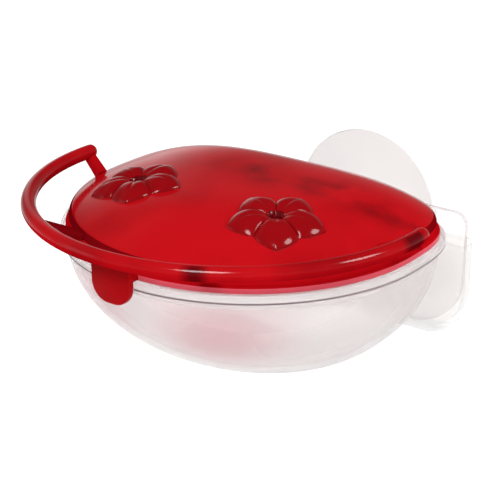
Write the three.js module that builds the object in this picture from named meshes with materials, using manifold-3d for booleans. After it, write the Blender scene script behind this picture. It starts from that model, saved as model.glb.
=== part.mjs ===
// A window feeder for nectar: a clear bowl under a red cover with two flower ports and a perch,
// hung from a clear bracket on one suction cup. Sizes are millimetres and +Z is up.
// The origin is the middle of the suction cup's face on the window pane. +Y points into the pane,
// so the feeder stands out from it along -Y.

import * as THREE from 'three';
import { mergeVertices } from 'three/addons/utils/BufferGeometryUtils.js';
import Module from 'manifold-3d';

// Gaps between pieces
const SEAT_GAP = 0.3;
const SLIDE_GAP = 0.4;
const PLUG_GAP = 0.5;

// Suction cup
const CUP_RADIUS = 31.75;
const CUP_SEAL_WIDTH = 3;
const CUP_EDGE = 1.4;
const CUP_HOLLOW = 3.4;
const CUP_HEIGHT = 9.6;
const CUP_BEND = 1.4;
const CUP_SHOULDER_RADIUS = 10;
const NECK_RADIUS = 5;
const NECK_PLAY = 2;
const HEAD_RADIUS = 7;
const HEAD_THICKNESS = 2.8;

// Bracket
const BRACKET_HALF_WIDTH = 59.3;
const BRACKET_SHOULDER = 1.5;
const BRACKET_FLOOR = -37;
const BRACKET_CORNER = 18;
const BRACKET_WALL = 2.5;
const BACK_PLATE = 3;
const FRONT_PLATE = 2.4;
const FRONT_FRAME = 15;
const EAR_HALF_WIDTH = 18;
const EAR_RISE = 14;
const KEYHOLE_DROP = 15;

// Bowl
const BOWL_RADIUS = 67.6;
const BOWL_BACK = 45.2;
const BOWL_DEPTH = 56.4;
const BOWL_WALL = 2.2;
const BOWL_SWEEP = 29.6;
const BOWL_FULLNESS = 1.93;
const BOWL_STAND_OFF = 9.1;
const RIM_HEIGHT = 14.9;
const LIP_HEIGHT = 2.9;
const LIP_OVERHANG = 2;

// Hanger
const HANGER_PLATE = 2.4;
const HANGER_WEB = 2.4;
const HANGER_DROP = 0.9;
const HANGER_WEB_HALF_WIDTH = 44;
const HANGER_ROUNDING = 6;

// Cover
const COVER_WALL = 2;
const COVER_STEP = 1.3;
const COVER_RADIUS = BOWL_RADIUS - COVER_STEP;
const FLANGE_OVERHANG = 1.3;
const FLANGE_THICKNESS = 1.8;
const COVER_SIDE = 4.6;
const DOME_RISE = 10.1;
const DOME_FULLNESS = 4;
const SKIRT_DEPTH = 2;
const SKIRT_WALL = 1.6;
const TAB_WIDTH = 15.5;
const TAB_THICKNESS = 2.3;
const TAB_REACH = 7.8;
const TAB_RISE = 5.6;
const TAB_DROP = 5.9;
const TAB_CORNER = 5;

// Perch
const PERCH_RADIUS = 74.1;
const PERCH_FORWARD = 8.8;
const PERCH_ROD_RADIUS = 2.7;
const PERCH_HEIGHT = 30.8;
const PERCH_END_ANGLE = 92;
const ARM_ANGLE = 27;
const ARM_WIDTH = 7.5;
const ARM_THICKNESS = 2;
const LEG_RADIUS = 2.1;
const LEG_FOOT_RADIUS = 2.4;
const FOOT_INSET = 1.2;
const END_FOOT_ADVANCE = 2;

// Flower ports
const PORT_SIDE = 30.4;
const PORT_FORWARD = 27.3;
const PETALS = 5;
const PETAL_REACH = 17.8;
const PETAL_ROOT = 1.8;
const PETAL_HALF_WIDTH = 7.9;
const PETAL_RISE = 3.6;
const PETAL_POINT = 0.55;
const CORE_RADIUS = 7.5;
const CORE_RISE = 2.6;
const FUNNEL_RADIUS = 4.6;
const HOLE_RADIUS = 2.3;
const SPIGOT_RADIUS = 4.2;
const SPIGOT_LENGTH = 6;

// Plan of the dish: a half circle in front and a squared half ellipse behind
const BACK_SQUARENESS = 3.2;

// Facets
const ROUND_STEPS = 48;
const PROFILE_STEPS = 12;
const CUP_STEPS = 5;
const CORNER_STEPS = 10;
const ROD_SIDES = 10;
const BORE_SIDES = 20;
const PETAL_SIDES = 12;
const BEAD_RINGS = 8;

// Depths from the pane, counted back along -Y
const plateBack = -(CUP_HEIGHT + NECK_PLAY);
const plateFront = plateBack - BACK_PLATE;
const headBack = plateFront - SLIDE_GAP;
const headFront = headBack - HEAD_THICKNESS;
const hangerBack = headFront - SLIDE_GAP;
const hangerFront = hangerBack - HANGER_PLATE;
const pocketFront = hangerFront - SLIDE_GAP;
const bracketFront = pocketFront - FRONT_PLATE;
const dishY = bracketFront - BOWL_STAND_OFF - BOWL_BACK - LIP_OVERHANG;

// Heights
const lipTop = RIM_HEIGHT + LIP_HEIGHT;
const flangeBottom = lipTop + SEAT_GAP;
const flangeTop = flangeBottom + FLANGE_THICKNESS;
const domeBase = flangeTop + COVER_SIDE;
const hangerTop = RIM_HEIGHT - HANGER_DROP;

// Radius of the bowl's mouth, which the cover plugs
const mouthRadius = BOWL_RADIUS - BOWL_WALL;

const wasm = await Module();
wasm.setup();

function toSolid(geometry) {
  const bare = geometry.clone();
  bare.deleteAttribute('normal');
  bare.deleteAttribute('uv');
  const merged = mergeVertices(bare, 1e-4);
  const index = merged.index.array;
  const triangles = [];
  for (let i = 0; i < index.length; i += 3) {
    const [a, b, c] = [index[i], index[i + 1], index[i + 2]];
    if (a !== b && b !== c && c !== a) {
      triangles.push(a, b, c);
    }
  }
  return new wasm.Manifold(new wasm.Mesh({
    numProp: 3,
    vertProperties: Float32Array.from(merged.attributes.position.array),
    triVerts: Uint32Array.from(triangles),
  }));
}

function toGeometry(solid) {
  const { vertProperties, triVerts } = solid.getMesh();
  const geometry = new THREE.BufferGeometry();
  geometry.setAttribute('position', new THREE.BufferAttribute(vertProperties, 3));
  geometry.setIndex(new THREE.BufferAttribute(triVerts, 1));
  return geometry;
}

function piece(name, geometry, material) {
  const mesh = new THREE.Mesh(geometry, new THREE.MeshStandardMaterial(material));
  mesh.name = name;
  return mesh;
}

const clearRigid = { color: '#e9e7e6', roughness: 0.08, metalness: 0, transparent: true, opacity: 0.35 };
const clearSoft = { color: '#ecebea', roughness: 0.2, metalness: 0, transparent: true, opacity: 0.45 };
const redGlossy = { color: '#b80d18', roughness: 0.12, metalness: 0 };

// A profile of [radius, height] points is turned upright about the dish's middle, and its back half is
// pressed from a circle into the squared half ellipse. Rings inside sweepRadius are carried towards
// the back, the innermost the furthest.
function dishForm(profile, sweepRadius = 0) {
  const points = profile.map(([r, z]) => new THREE.Vector2(r, z));
  const geometry = new THREE.LatheGeometry(points, ROUND_STEPS);
  geometry.rotateX(Math.PI / 2);
  const position = geometry.attributes.position;
  const power = 2 / BACK_SQUARENESS;
  for (let i = 0; i < position.count; i += 1) {
    let x = position.getX(i);
    let y = position.getY(i);
    const r = Math.hypot(x, y);
    if (y > 0 && r > 0) {
      x = Math.sign(x) * r * (Math.abs(x) / r) ** power;
      y = backReach(r) * (y / r) ** power;
    }
    if (r < sweepRadius) {
      y += BOWL_SWEEP * (1 - r / sweepRadius);
    }
    position.setXY(i, x, dishY + y);
  }
  return geometry;
}

// How far the plan reaches behind the dish's middle, for a ring of the given front radius
function backReach(radius) {
  const flattening = BOWL_RADIUS - BOWL_BACK;
  return radius * (1 - flattening / BOWL_RADIUS);
}

function bowlSide(radius, depth) {
  const profile = [];
  for (let i = 0; i <= PROFILE_STEPS; i += 1) {
    const s = Math.sin((Math.PI / 2) * (i / PROFILE_STEPS));
    const drop = (1 - s ** BOWL_FULLNESS) ** (1 / BOWL_FULLNESS);
    profile.push([radius * s, RIM_HEIGHT - depth * drop]);
  }
  return profile;
}

// A plate in the plane of the pane: flat on top, with straight sides and two round lower corners
function shieldPlate(halfWidth, top, floor, corner, yBack, yFront) {
  const shape = new THREE.Shape();
  shape.moveTo(-halfWidth, top);
  shape.lineTo(-halfWidth, floor + corner);
  shape.absarc(-halfWidth + corner, floor + corner, corner, Math.PI, 1.5 * Math.PI, false);
  shape.lineTo(halfWidth - corner, floor);
  shape.absarc(halfWidth - corner, floor + corner, corner, 1.5 * Math.PI, 2 * Math.PI, false);
  shape.lineTo(halfWidth, top);
  shape.closePath();
  return standUp(shape, yBack, yFront);
}

// Extrudes a shape drawn in X and Z from yFront to yBack
function standUp(shape, yBack, yFront) {
  const geometry = new THREE.ExtrudeGeometry(shape, {
    depth: yBack - yFront,
    bevelEnabled: false,
    curveSegments: CORNER_STEPS,
  });
  geometry.rotateX(Math.PI / 2);
  geometry.translate(0, yBack, 0);
  return geometry;
}

function suctionCup() {
  const profile = [[0, -CUP_HOLLOW]];
  const sealInner = CUP_RADIUS - CUP_SEAL_WIDTH;
  for (let i = 1; i <= CUP_STEPS; i += 1) {
    const t = i / CUP_STEPS;
    profile.push([sealInner * t, -CUP_HOLLOW * (1 - t ** 2)]);
  }
  profile.push([CUP_RADIUS, 0], [CUP_RADIUS, -CUP_EDGE]);
  const flare = CUP_RADIUS - CUP_SHOULDER_RADIUS;
  const rise = CUP_HEIGHT - CUP_EDGE;
  for (let i = 1; i <= CUP_STEPS; i += 1) {
    const t = i / CUP_STEPS;
    profile.push([CUP_RADIUS - flare * t, -CUP_EDGE - rise * t ** CUP_BEND]);
  }
  profile.push([NECK_RADIUS, -CUP_HEIGHT], [NECK_RADIUS, headBack], [HEAD_RADIUS, headBack]);
  profile.push([HEAD_RADIUS, headFront], [0, headFront]);
  const points = profile.map(([r, y]) => new THREE.Vector2(r, y)).reverse();
  return toGeometry(toSolid(new THREE.LatheGeometry(points, ROUND_STEPS)));
}

function windowBracket() {
  const shell = toSolid(shieldPlate(
    BRACKET_HALF_WIDTH, BRACKET_SHOULDER, BRACKET_FLOOR, BRACKET_CORNER, plateBack, bracketFront));
  const earTop = BRACKET_SHOULDER + EAR_RISE;
  const pocket = toSolid(shieldPlate(
    BRACKET_HALF_WIDTH - BRACKET_WALL, earTop, BRACKET_FLOOR + BRACKET_WALL,
    BRACKET_CORNER - BRACKET_WALL, plateFront, pocketFront));
  const sight = toSolid(shieldPlate(
    BRACKET_HALF_WIDTH - FRONT_FRAME, earTop, BRACKET_FLOOR + FRONT_FRAME,
    BRACKET_CORNER - BRACKET_WALL, hangerFront, bracketFront - FRONT_PLATE));

  const ear = new THREE.Shape();
  const earRoot = BRACKET_SHOULDER - EAR_RISE;
  ear.moveTo(-EAR_HALF_WIDTH, earRoot);
  ear.lineTo(EAR_HALF_WIDTH, earRoot);
  ear.lineTo(EAR_HALF_WIDTH, earTop - EAR_HALF_WIDTH / 2);
  ear.quadraticCurveTo(EAR_HALF_WIDTH, earTop, 0, earTop);
  ear.quadraticCurveTo(-EAR_HALF_WIDTH, earTop, -EAR_HALF_WIDTH, earTop - EAR_HALF_WIDTH / 2);
  ear.closePath();

  // The neck sits in the round upper end of the slot, at the origin's height
  const slotRadius = NECK_RADIUS + SLIDE_GAP;
  const slot = new THREE.Shape();
  slot.moveTo(slotRadius, 0);
  slot.absarc(0, 0, slotRadius, 0, Math.PI, false);
  slot.lineTo(-slotRadius, -KEYHOLE_DROP);
  slot.lineTo(slotRadius, -KEYHOLE_DROP);
  slot.closePath();
  const wide = new THREE.Shape();
  wide.absarc(0, -KEYHOLE_DROP, HEAD_RADIUS + SLIDE_GAP, 0, 2 * Math.PI, false);
  const cut = (shape) => toSolid(standUp(shape, plateBack + BACK_PLATE, plateFront - BACK_PLATE));

  const solid = shell
    .subtract(pocket)
    .subtract(sight)
    .add(toSolid(standUp(ear, plateBack, plateFront)))
    .subtract(cut(slot))
    .subtract(cut(wide));
  return toGeometry(solid);
}

// The bowl's outer shape with its mouth filled in, grown by a gap for what is seated against it
function bowlOutside(gap) {
  const lipRadius = BOWL_RADIUS + LIP_OVERHANG + gap;
  const profile = [
    ...bowlSide(BOWL_RADIUS + gap, BOWL_DEPTH + gap),
    [lipRadius, RIM_HEIGHT - gap],
    [lipRadius, lipTop + gap],
    [0, lipTop + gap],
  ];
  return toSolid(dishForm(profile, BOWL_RADIUS + gap));
}

function nectarBowl() {
  const inside = [
    ...bowlSide(mouthRadius, BOWL_DEPTH - BOWL_WALL),
    [mouthRadius, lipTop + LIP_HEIGHT],
    [0, lipTop + LIP_HEIGHT],
  ];
  return toGeometry(bowlOutside(0).subtract(toSolid(dishForm(inside, mouthRadius))));
}

// The plate that drops into the bracket's pocket, its corners rounder than the pocket's to find their way
// in, and the web that reaches to the bowl under its lip
function bowlHanger() {
  const clearance = BRACKET_WALL + SLIDE_GAP;
  const plate = shieldPlate(
    BRACKET_HALF_WIDTH - clearance, hangerTop, BRACKET_FLOOR + clearance,
    BRACKET_CORNER - clearance + HANGER_ROUNDING, hangerBack, hangerFront);
  const webFront = dishY + BOWL_BACK / 2;
  const webLength = (hangerBack + hangerFront) / 2 - webFront;
  const web = new THREE.BoxGeometry(2 * HANGER_WEB_HALF_WIDTH, webLength, HANGER_WEB);
  web.translate(0, webFront + webLength / 2, hangerTop - HANGER_WEB / 2);

  return toGeometry(toSolid(plate).add(toSolid(web)).subtract(bowlOutside(SEAT_GAP)));
}

// Height of the dome's outer face above the pane's origin, for a ring of the given front radius
function domeHeight(radius) {
  return domeBase + DOME_RISE * (1 - (radius / COVER_RADIUS) ** DOME_FULLNESS);
}

function domeProfile(inset) {
  const profile = [];
  const outer = COVER_RADIUS - inset;
  for (let i = 0; i <= PROFILE_STEPS; i += 1) {
    const s = Math.sin((Math.PI / 2) * (i / PROFILE_STEPS));
    profile.push([outer * s, domeHeight(COVER_RADIUS * s) - inset]);
  }
  return profile;
}

// The space that the dome fills, with the seat gap round it, for what is seated on the dome
function domeSeat() {
  const profile = domeProfile(-SEAT_GAP).reverse();
  return toSolid(dishForm([[0, RIM_HEIGHT], [COVER_RADIUS + SEAT_GAP, RIM_HEIGHT], ...profile]));
}

// A tongue that stands above and below the ledge, which holds it clear of the bowl's lip
function liftTab() {
  const outer = -(BOWL_RADIUS + LIP_OVERHANG + TAB_REACH);
  const inner = outer + TAB_THICKNESS;
  const half = TAB_WIDTH / 2;
  const tongue = shieldPlate(
    half, flangeTop + TAB_RISE, flangeBottom - TAB_DROP, TAB_CORNER, dishY + inner, dishY + outer);
  const ledgeBack = -(COVER_RADIUS - COVER_WALL);
  const ledge = new THREE.BoxGeometry(TAB_WIDTH, ledgeBack - outer, FLANGE_THICKNESS);
  ledge.translate(0, dishY + (ledgeBack + outer) / 2, (flangeBottom + flangeTop) / 2);
  return toSolid(tongue).add(toSolid(ledge));
}

function cover(ports) {
  const flangeRadius = COVER_RADIUS + FLANGE_OVERHANG;
  const skirtOuter = mouthRadius - PLUG_GAP;
  const skirtInner = skirtOuter - SKIRT_WALL;
  const skirtBottom = flangeBottom - SKIRT_DEPTH;
  const shell = dishForm([
    ...domeProfile(COVER_WALL).filter(([r]) => r < skirtInner),
    [skirtInner, domeBase - COVER_WALL],
    [skirtInner, skirtBottom],
    [skirtOuter, skirtBottom],
    [skirtOuter, flangeBottom],
    [flangeRadius, flangeBottom],
    [flangeRadius, flangeTop],
    [COVER_RADIUS, flangeTop],
    ...domeProfile(0).reverse(),
  ]);
  let solid = toSolid(shell).add(liftTab());
  for (const port of ports) {
    const boreRadius = SPIGOT_RADIUS + SEAT_GAP;
    const bore = turned(boreRadius, boreRadius, -SPIGOT_LENGTH, SPIGOT_LENGTH);
    bore.applyMatrix4(port.matrix);
    solid = solid.subtract(toSolid(bore));
  }
  return toGeometry(solid);
}

class PerchArc extends THREE.Curve {
  getPoint(t) {
    const angle = THREE.MathUtils.degToRad(PERCH_END_ANGLE * (2 * t - 1));
    return perchPoint(angle);
  }
}

function perchPoint(angle) {
  return new THREE.Vector3(
    PERCH_RADIUS * Math.sin(angle),
    dishY - PERCH_FORWARD - PERCH_RADIUS * Math.cos(angle),
    PERCH_HEIGHT);
}

// A point on the dome near its shoulder, in the direction of a point on the perch
function footPoint(from, advance) {
  const flat = new THREE.Vector2(from.x, from.y - advance - dishY);
  flat.setLength(COVER_RADIUS - FOOT_INSET);
  const height = domeHeight(COVER_RADIUS - FOOT_INSET) - SEAT_GAP;
  return new THREE.Vector3(flat.x, dishY + flat.y, height);
}

// Turns and moves a bar that lies along Y so that it runs between two points
function layBetween(geometry, from, to) {
  const frame = new THREE.Matrix4().lookAt(from, to, new THREE.Vector3(0, 0, 1));
  const place = new THREE.Matrix4().setPosition(from.clone().lerp(to, 0.5));
  geometry.rotateX(Math.PI / 2);
  geometry.applyMatrix4(place.multiply(frame));
  return geometry;
}

function perchRing() {
  const section = new THREE.Shape();
  section.absarc(0, 0, PERCH_ROD_RADIUS, 0, 2 * Math.PI, false);
  const rod = new THREE.ExtrudeGeometry(section, {
    steps: ROUND_STEPS,
    curveSegments: ROD_SIDES / 2,
    extrudePath: new PerchArc(),
  });
  let solid = toSolid(rod);
  for (const side of [-1, 1]) {
    const end = perchPoint(side * THREE.MathUtils.degToRad(PERCH_END_ANGLE));
    const knob = new THREE.SphereGeometry(PERCH_ROD_RADIUS, ROD_SIDES, BEAD_RINGS);
    knob.translate(end.x, end.y, end.z);
    const endFoot = footPoint(end, END_FOOT_ADVANCE);
    const legLength = end.distanceTo(endFoot);
    const leg = new THREE.CylinderGeometry(LEG_RADIUS, LEG_FOOT_RADIUS, legLength, ROD_SIDES);
    const root = perchPoint(side * THREE.MathUtils.degToRad(ARM_ANGLE));
    const armFoot = footPoint(root, 0);
    const arm = new THREE.BoxGeometry(ARM_WIDTH, root.distanceTo(armFoot), ARM_THICKNESS);
    solid = solid
      .add(toSolid(knob))
      .add(toSolid(layBetween(leg, end, endFoot)))
      .add(toSolid(layBetween(arm, root, armFoot)));
  }
  return toGeometry(solid.subtract(domeSeat()));
}

// The frame of a port: on the dome's face, with its axis square to the face
function portFrame(side) {
  const frame = new THREE.Object3D();
  const radius = Math.hypot(PORT_SIDE, PORT_FORWARD);
  const steepest = (DOME_RISE * DOME_FULLNESS) / COVER_RADIUS;
  const slope = steepest * (radius / COVER_RADIUS) ** (DOME_FULLNESS - 1);
  const away = new THREE.Vector3(side * PORT_SIDE, -PORT_FORWARD, 0).divideScalar(radius);
  const normal = new THREE.Vector3(away.x * slope, away.y * slope, 1).normalize();
  frame.position.set(side * PORT_SIDE, dishY - PORT_FORWARD, domeHeight(radius));
  frame.quaternion.setFromUnitVectors(new THREE.Vector3(0, 0, 1), normal);
  frame.updateMatrix();
  return frame;
}

// Bends a form that lies on the port's plane so that it lies along the dome's face
function drape(geometry, frame) {
  const position = geometry.attributes.position;
  const point = new THREE.Vector3();
  for (let i = 0; i < position.count; i += 1) {
    point.set(position.getX(i), position.getY(i), 0).applyMatrix4(frame.matrix);
    const radius = Math.hypot(point.x, point.y - dishY);
    position.setZ(i, position.getZ(i) + domeHeight(radius) - point.z);
  }
  return geometry;
}

// A cushion with its middle on the dome's face, drawn in to a point at its outer end
function petal(angle) {
  const halfLength = (PETAL_REACH - PETAL_ROOT) / 2;
  const geometry = new THREE.SphereGeometry(1, PETAL_SIDES, BEAD_RINGS);
  const position = geometry.attributes.position;
  for (let i = 0; i < position.count; i += 1) {
    const out = Math.max(0, position.getX(i));
    position.setY(i, position.getY(i) * (1 - PETAL_POINT * out ** 2));
  }
  geometry.scale(halfLength, PETAL_HALF_WIDTH, PETAL_RISE);
  geometry.translate(PETAL_ROOT + halfLength, 0, 0);
  geometry.rotateZ(angle);
  return geometry;
}

// A round bar or taper on the port's axis, between two heights
function turned(lowRadius, highRadius, low, high) {
  const geometry = new THREE.CylinderGeometry(highRadius, lowRadius, high - low, BORE_SIDES);
  geometry.rotateX(Math.PI / 2);
  geometry.translate(0, 0, (low + high) / 2);
  return geometry;
}

function flowerPort(frame) {
  let bloom = toSolid(turned(CORE_RADIUS, CORE_RADIUS, -PETAL_RISE, CORE_RISE));
  for (let k = 0; k < PETALS; k += 1) {
    const angle = Math.PI / 2 + (k * 2 * Math.PI) / PETALS;
    bloom = bloom.add(toSolid(drape(petal(angle), frame)));
  }
  const seat = toGeometry(domeSeat());
  seat.applyMatrix4(frame.matrix.clone().invert());
  const funnelFloor = CORE_RISE / 2;
  const solid = bloom
    .subtract(toSolid(seat))
    .add(toSolid(turned(SPIGOT_RADIUS, SPIGOT_RADIUS, -SPIGOT_LENGTH, funnelFloor)))
    .subtract(toSolid(turned(HOLE_RADIUS, FUNNEL_RADIUS, funnelFloor, PETAL_RISE)))
    .subtract(toSolid(turned(HOLE_RADIUS, HOLE_RADIUS, -2 * SPIGOT_LENGTH, PETAL_RISE)));
  return toGeometry(solid);
}

const feeder = new THREE.Group();
const portFrames = { flower_port_left: portFrame(-1), flower_port_right: portFrame(1) };
feeder.add(piece('suction_cup', suctionCup(), clearSoft));
feeder.add(piece('window_bracket', windowBracket(), clearRigid));
feeder.add(piece('nectar_bowl', nectarBowl(), clearRigid));
feeder.add(piece('bowl_hanger', bowlHanger(), clearRigid));
feeder.add(piece('cover', cover(Object.values(portFrames)), redGlossy));
feeder.add(piece('perch_ring', perchRing(), redGlossy));
for (const [name, frame] of Object.entries(portFrames)) {
  const port = piece(name, flowerPort(frame), redGlossy);
  port.position.copy(frame.position);
  port.quaternion.copy(frame.quaternion);
  feeder.add(port);
}

export default feeder;
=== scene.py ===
# A window feeder for nectar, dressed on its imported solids: clear moulded bowl, hanger and bracket, a soft
# clear suction cup, and a red cover with a perch and two flower ports. Sizes here are metres.
from math import atan2, cos, exp, hypot, pi, radians, sin

import bmesh
import bpy
from mathutils import Matrix, Vector


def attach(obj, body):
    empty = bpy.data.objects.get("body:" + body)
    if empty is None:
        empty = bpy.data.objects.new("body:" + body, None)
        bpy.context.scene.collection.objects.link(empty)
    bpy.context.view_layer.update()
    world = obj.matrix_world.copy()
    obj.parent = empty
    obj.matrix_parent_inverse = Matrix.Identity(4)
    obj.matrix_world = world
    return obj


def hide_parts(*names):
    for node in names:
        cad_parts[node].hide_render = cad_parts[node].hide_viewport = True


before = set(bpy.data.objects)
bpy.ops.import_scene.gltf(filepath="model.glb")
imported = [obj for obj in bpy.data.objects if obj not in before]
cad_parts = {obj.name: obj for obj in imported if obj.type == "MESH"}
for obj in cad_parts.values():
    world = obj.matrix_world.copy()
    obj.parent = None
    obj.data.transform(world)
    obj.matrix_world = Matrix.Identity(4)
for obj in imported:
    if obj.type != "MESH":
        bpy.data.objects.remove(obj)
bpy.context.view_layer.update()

MM = 0.001

# Edges: the radius that most moulded edges are rounded by, and the angle above which an edge shows
MOULD_EDGE = 0.4 * MM
PLATE_EDGE = 0.5 * MM
TAB_EDGE = 0.6 * MM
SHOWN_ANGLE = radians(38)

# Middle of the dish in plan, and its D shape: a half circle in front, a squared half ellipse behind
DISH_Y = -79.7 * MM
BOWL_RADIUS = 67.6 * MM
BOWL_BACK = 45.2 * MM
BACK_SQUARENESS = 3.2

# Bowl
BOWL_DEPTH = 56.4 * MM
BOWL_WALL = 2.2 * MM
BOWL_SWEEP = 29.6 * MM
BOWL_FULLNESS = 1.93
MOUTH_RADIUS = BOWL_RADIUS - BOWL_WALL
LIP_RADIUS = BOWL_RADIUS + 2 * MM
RIM_HEIGHT = 14.9 * MM
LIP_TOP = 18 * MM
BEAD_HEIGHT = 12.4 * MM
BEAD = 0.5 * MM
# Height of the lip's lowest band, which takes a painted shade line
LIP_LINE = 0.7 * MM

# Where the bowl's wall takes a painted pink glow of the red cover seen through it, and one over how far the
# glow reaches along each axis
RED_GLOW_MIDDLE = (27 * MM, -135 * MM, -1 * MM)
RED_GLOW_PER_SIZE = (1 / (36 * MM), 1 / (36 * MM), 1 / (28 * MM))

# Where the cover is mottled: a band across it, with its middle, its half width and its left end
MOTTLE_Y = DISH_Y + 7 * MM
MOTTLE_HALF_WIDTH = 16 * MM
MOTTLE_START = -35 * MM

# Cover
COVER_RADIUS = 66.3 * MM
COVER_WALL = 2 * MM
FLANGE_RADIUS = 67.6 * MM
FLANGE_BOTTOM = 18.1 * MM
FLANGE_TOP = 19.9 * MM
DOME_BASE = 24.5 * MM
DOME_RISE = 10.1 * MM
DOME_FULLNESS = 4
SHOULDER_ROUND = 1.8 * MM
SKIRT_OUTER = MOUTH_RADIUS - 0.5 * MM
SKIRT_INNER = SKIRT_OUTER - 1.6 * MM
SKIRT_BOTTOM = 16.1 * MM

# Lift tab on the cover's front
TAB_WIDTH = 16.4 * MM
TAB_BACK = DISH_Y - 75.1 * MM
TAB_FRONT = DISH_Y - 77.4 * MM
TAB_TOP = 25.5 * MM
TAB_BOTTOM = 12.2 * MM
TAB_CORNER = 6.8 * MM
TAB_STEM = 7 * MM

# Perch
PERCH_CENTRE = Vector((0, DISH_Y - 8.8 * MM, 30.8 * MM))
PERCH_RADIUS = 73.95 * MM
ROD_RADIUS = 2.7 * MM
PERCH_END = radians(92.5)
LEFT_ARM = radians(-30)
RIGHT_ARM = radians(27)
# Where the rod takes painted shade opposite the right arm and the legs, and how far round it reaches
LEG_ROOT = radians(86.8)
ARM_ROOT_REACH = radians(3)
LEG_ROOT_REACH = radians(4.5)
POLISH_START = PERCH_CENTRE.z + 0.2 * MM
POLISH_FULL = PERCH_CENTRE.z + 1 * MM
ARM_WIDTH = 7 * MM
ARM_THICKNESS = 2 * MM
ARM_FOOT_HEIGHT = 23.7 * MM
LEG_RADIUS = 2.3 * MM
LEG_FOOT_RADIUS = 2.6 * MM
LEG_DROP = 2.5 * MM
LEG_FOOT = COVER_RADIUS - 1.2 * MM
LEG_FOOT_ADVANCE = 6.5 * MM
LEG_SINK = 2.5 * MM
ARM_SINK = 0.6 * MM

# Flower ports
PORT_SIDE = 30.4 * MM
PORT_Y = DISH_Y - 27.3 * MM
PETALS = 5
PETAL_TIP = 17.4 * MM
PETAL_NOTCH = 12.8 * MM
PETAL_RISE = 3.6 * MM
LEFT_FLOWER_TURN = radians(-10)
THROAT_RADIUS = 3 * MM
HOLE_RADIUS = 2.1 * MM
SPIGOT_RADIUS = 4.2 * MM
SPIGOT_BOTTOM = -6 * MM
PORT_SINK = 0.4 * MM
BORE_RADIUS = SPIGOT_RADIUS + 0.3 * MM
BORE_BOTTOM = 20 * MM
BORE_TOP = 40 * MM

# Bracket, hanger and suction cup, as depths from the pane along Y and heights along Z
PLATE_BACK = -11.6 * MM
PLATE_FRONT = -14.6 * MM
POCKET_FRONT = -21 * MM
BRACKET_FRONT = -23.4 * MM
BRACKET_HALF_WIDTH = 59.3 * MM
BRACKET_SHOULDER = 1.5 * MM
BRACKET_FLOOR = -37 * MM
BRACKET_CORNER = 18 * MM
BRACKET_WALL = 2.5 * MM
FRONT_FRAME = 15 * MM
EAR_TOP = BRACKET_SHOULDER + 14 * MM
EAR_BOTTOM = -12.5 * MM
EAR_HALF_WIDTH = 18 * MM
EAR_CORNER = 11 * MM
KEYHOLE_DROP = 15 * MM
KEYHOLE_BACK = -8 * MM
KEYHOLE_FRONT = -18 * MM
SLIDE_GAP = 0.4 * MM
HANGER_BACK = -18.2 * MM
HANGER_FRONT = -20.6 * MM
HANGER_TOP = 14 * MM
HANGER_INSET = 2.9 * MM
HANGER_SHOULDER = 5 * MM
HANGER_CORNER = BRACKET_CORNER - HANGER_INSET + 6 * MM
WEB_HALF_WIDTH = 44 * MM
WEB_THICKNESS = 2.4 * MM
WEB_SINK = 0.4 * MM
CUP_RADIUS = 31.75 * MM
CUP_SEAL = CUP_RADIUS - 3 * MM
CUP_HOLLOW = 3.4 * MM
CUP_EDGE = 1.4 * MM
CUP_HEIGHT = 9.6 * MM
CUP_BEND = 1.4
CUP_SHOULDER = 10 * MM
NECK_RADIUS = 5 * MM
HEAD_RADIUS = 7 * MM
HEAD_BACK = -15 * MM
HEAD_FRONT = -17.8 * MM

# Photograph: the camera's turn about the feeder, its height, and its lens in pixels of the 500 px frame
VIEW_TURN = radians(36.52)
VIEW_RISE = radians(21.77)
VIEW_DISTANCE = 0.5238
VIEW_MIDDLE = Vector((1 * MM, DISH_Y - 2.4 * MM, 6.7 * MM))
LENS_PIXELS = 1425.5
FRAME_PIXELS = 500
VIEW_AIM = Vector((0, DISH_Y, 12 * MM))

# Studio: the floor, where the lamps aim, how bright the backdrop is for diffuse light, and the bright
# window that gloss mirrors, by the X of its direction
FLOOR_HEIGHT = -0.16
FLOOR_SIZE = 4
FLOOR_LIFT = 0.42
LAMP_AIM = (0, -0.08, 0)
BACKDROP = 0.66
WINDOW_X = -0.74


def linear(hex_colour):
    """An sRGB hex colour as linear red, green, blue and alpha."""
    parts = [int(hex_colour[i:i + 2], 16) / 255 for i in (1, 3, 5)]
    return [p / 12.92 if p <= 0.04045 else ((p + 0.055) / 1.055) ** 2.4 for p in parts] + [1]


def add_node(tree, kind, inputs, **settings):
    """Adds a node, sets its own settings, and fills each input with a value or a link."""
    made = tree.nodes.new(kind)
    for name, value in settings.items():
        setattr(made, name, value)
    for name, value in inputs.items():
        if isinstance(value, bpy.types.NodeSocket):
            tree.links.new(value, made.inputs[name])
        else:
            made.inputs[name].default_value = value
    return made


def plastic(name, ior, transmission):
    """A moulded plastic with its constants on the shader, and the object's coordinates for its patterns."""
    material = bpy.data.materials.new(name)
    material.use_nodes = True
    tree = material.node_tree
    shader = tree.nodes["Principled BSDF"]
    shader.inputs["IOR"].default_value = ior
    shader.inputs["Transmission Weight"].default_value = transmission
    place = add_node(tree, "ShaderNodeTexCoord", {}).outputs["Object"]
    return material, tree, shader, place


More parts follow.
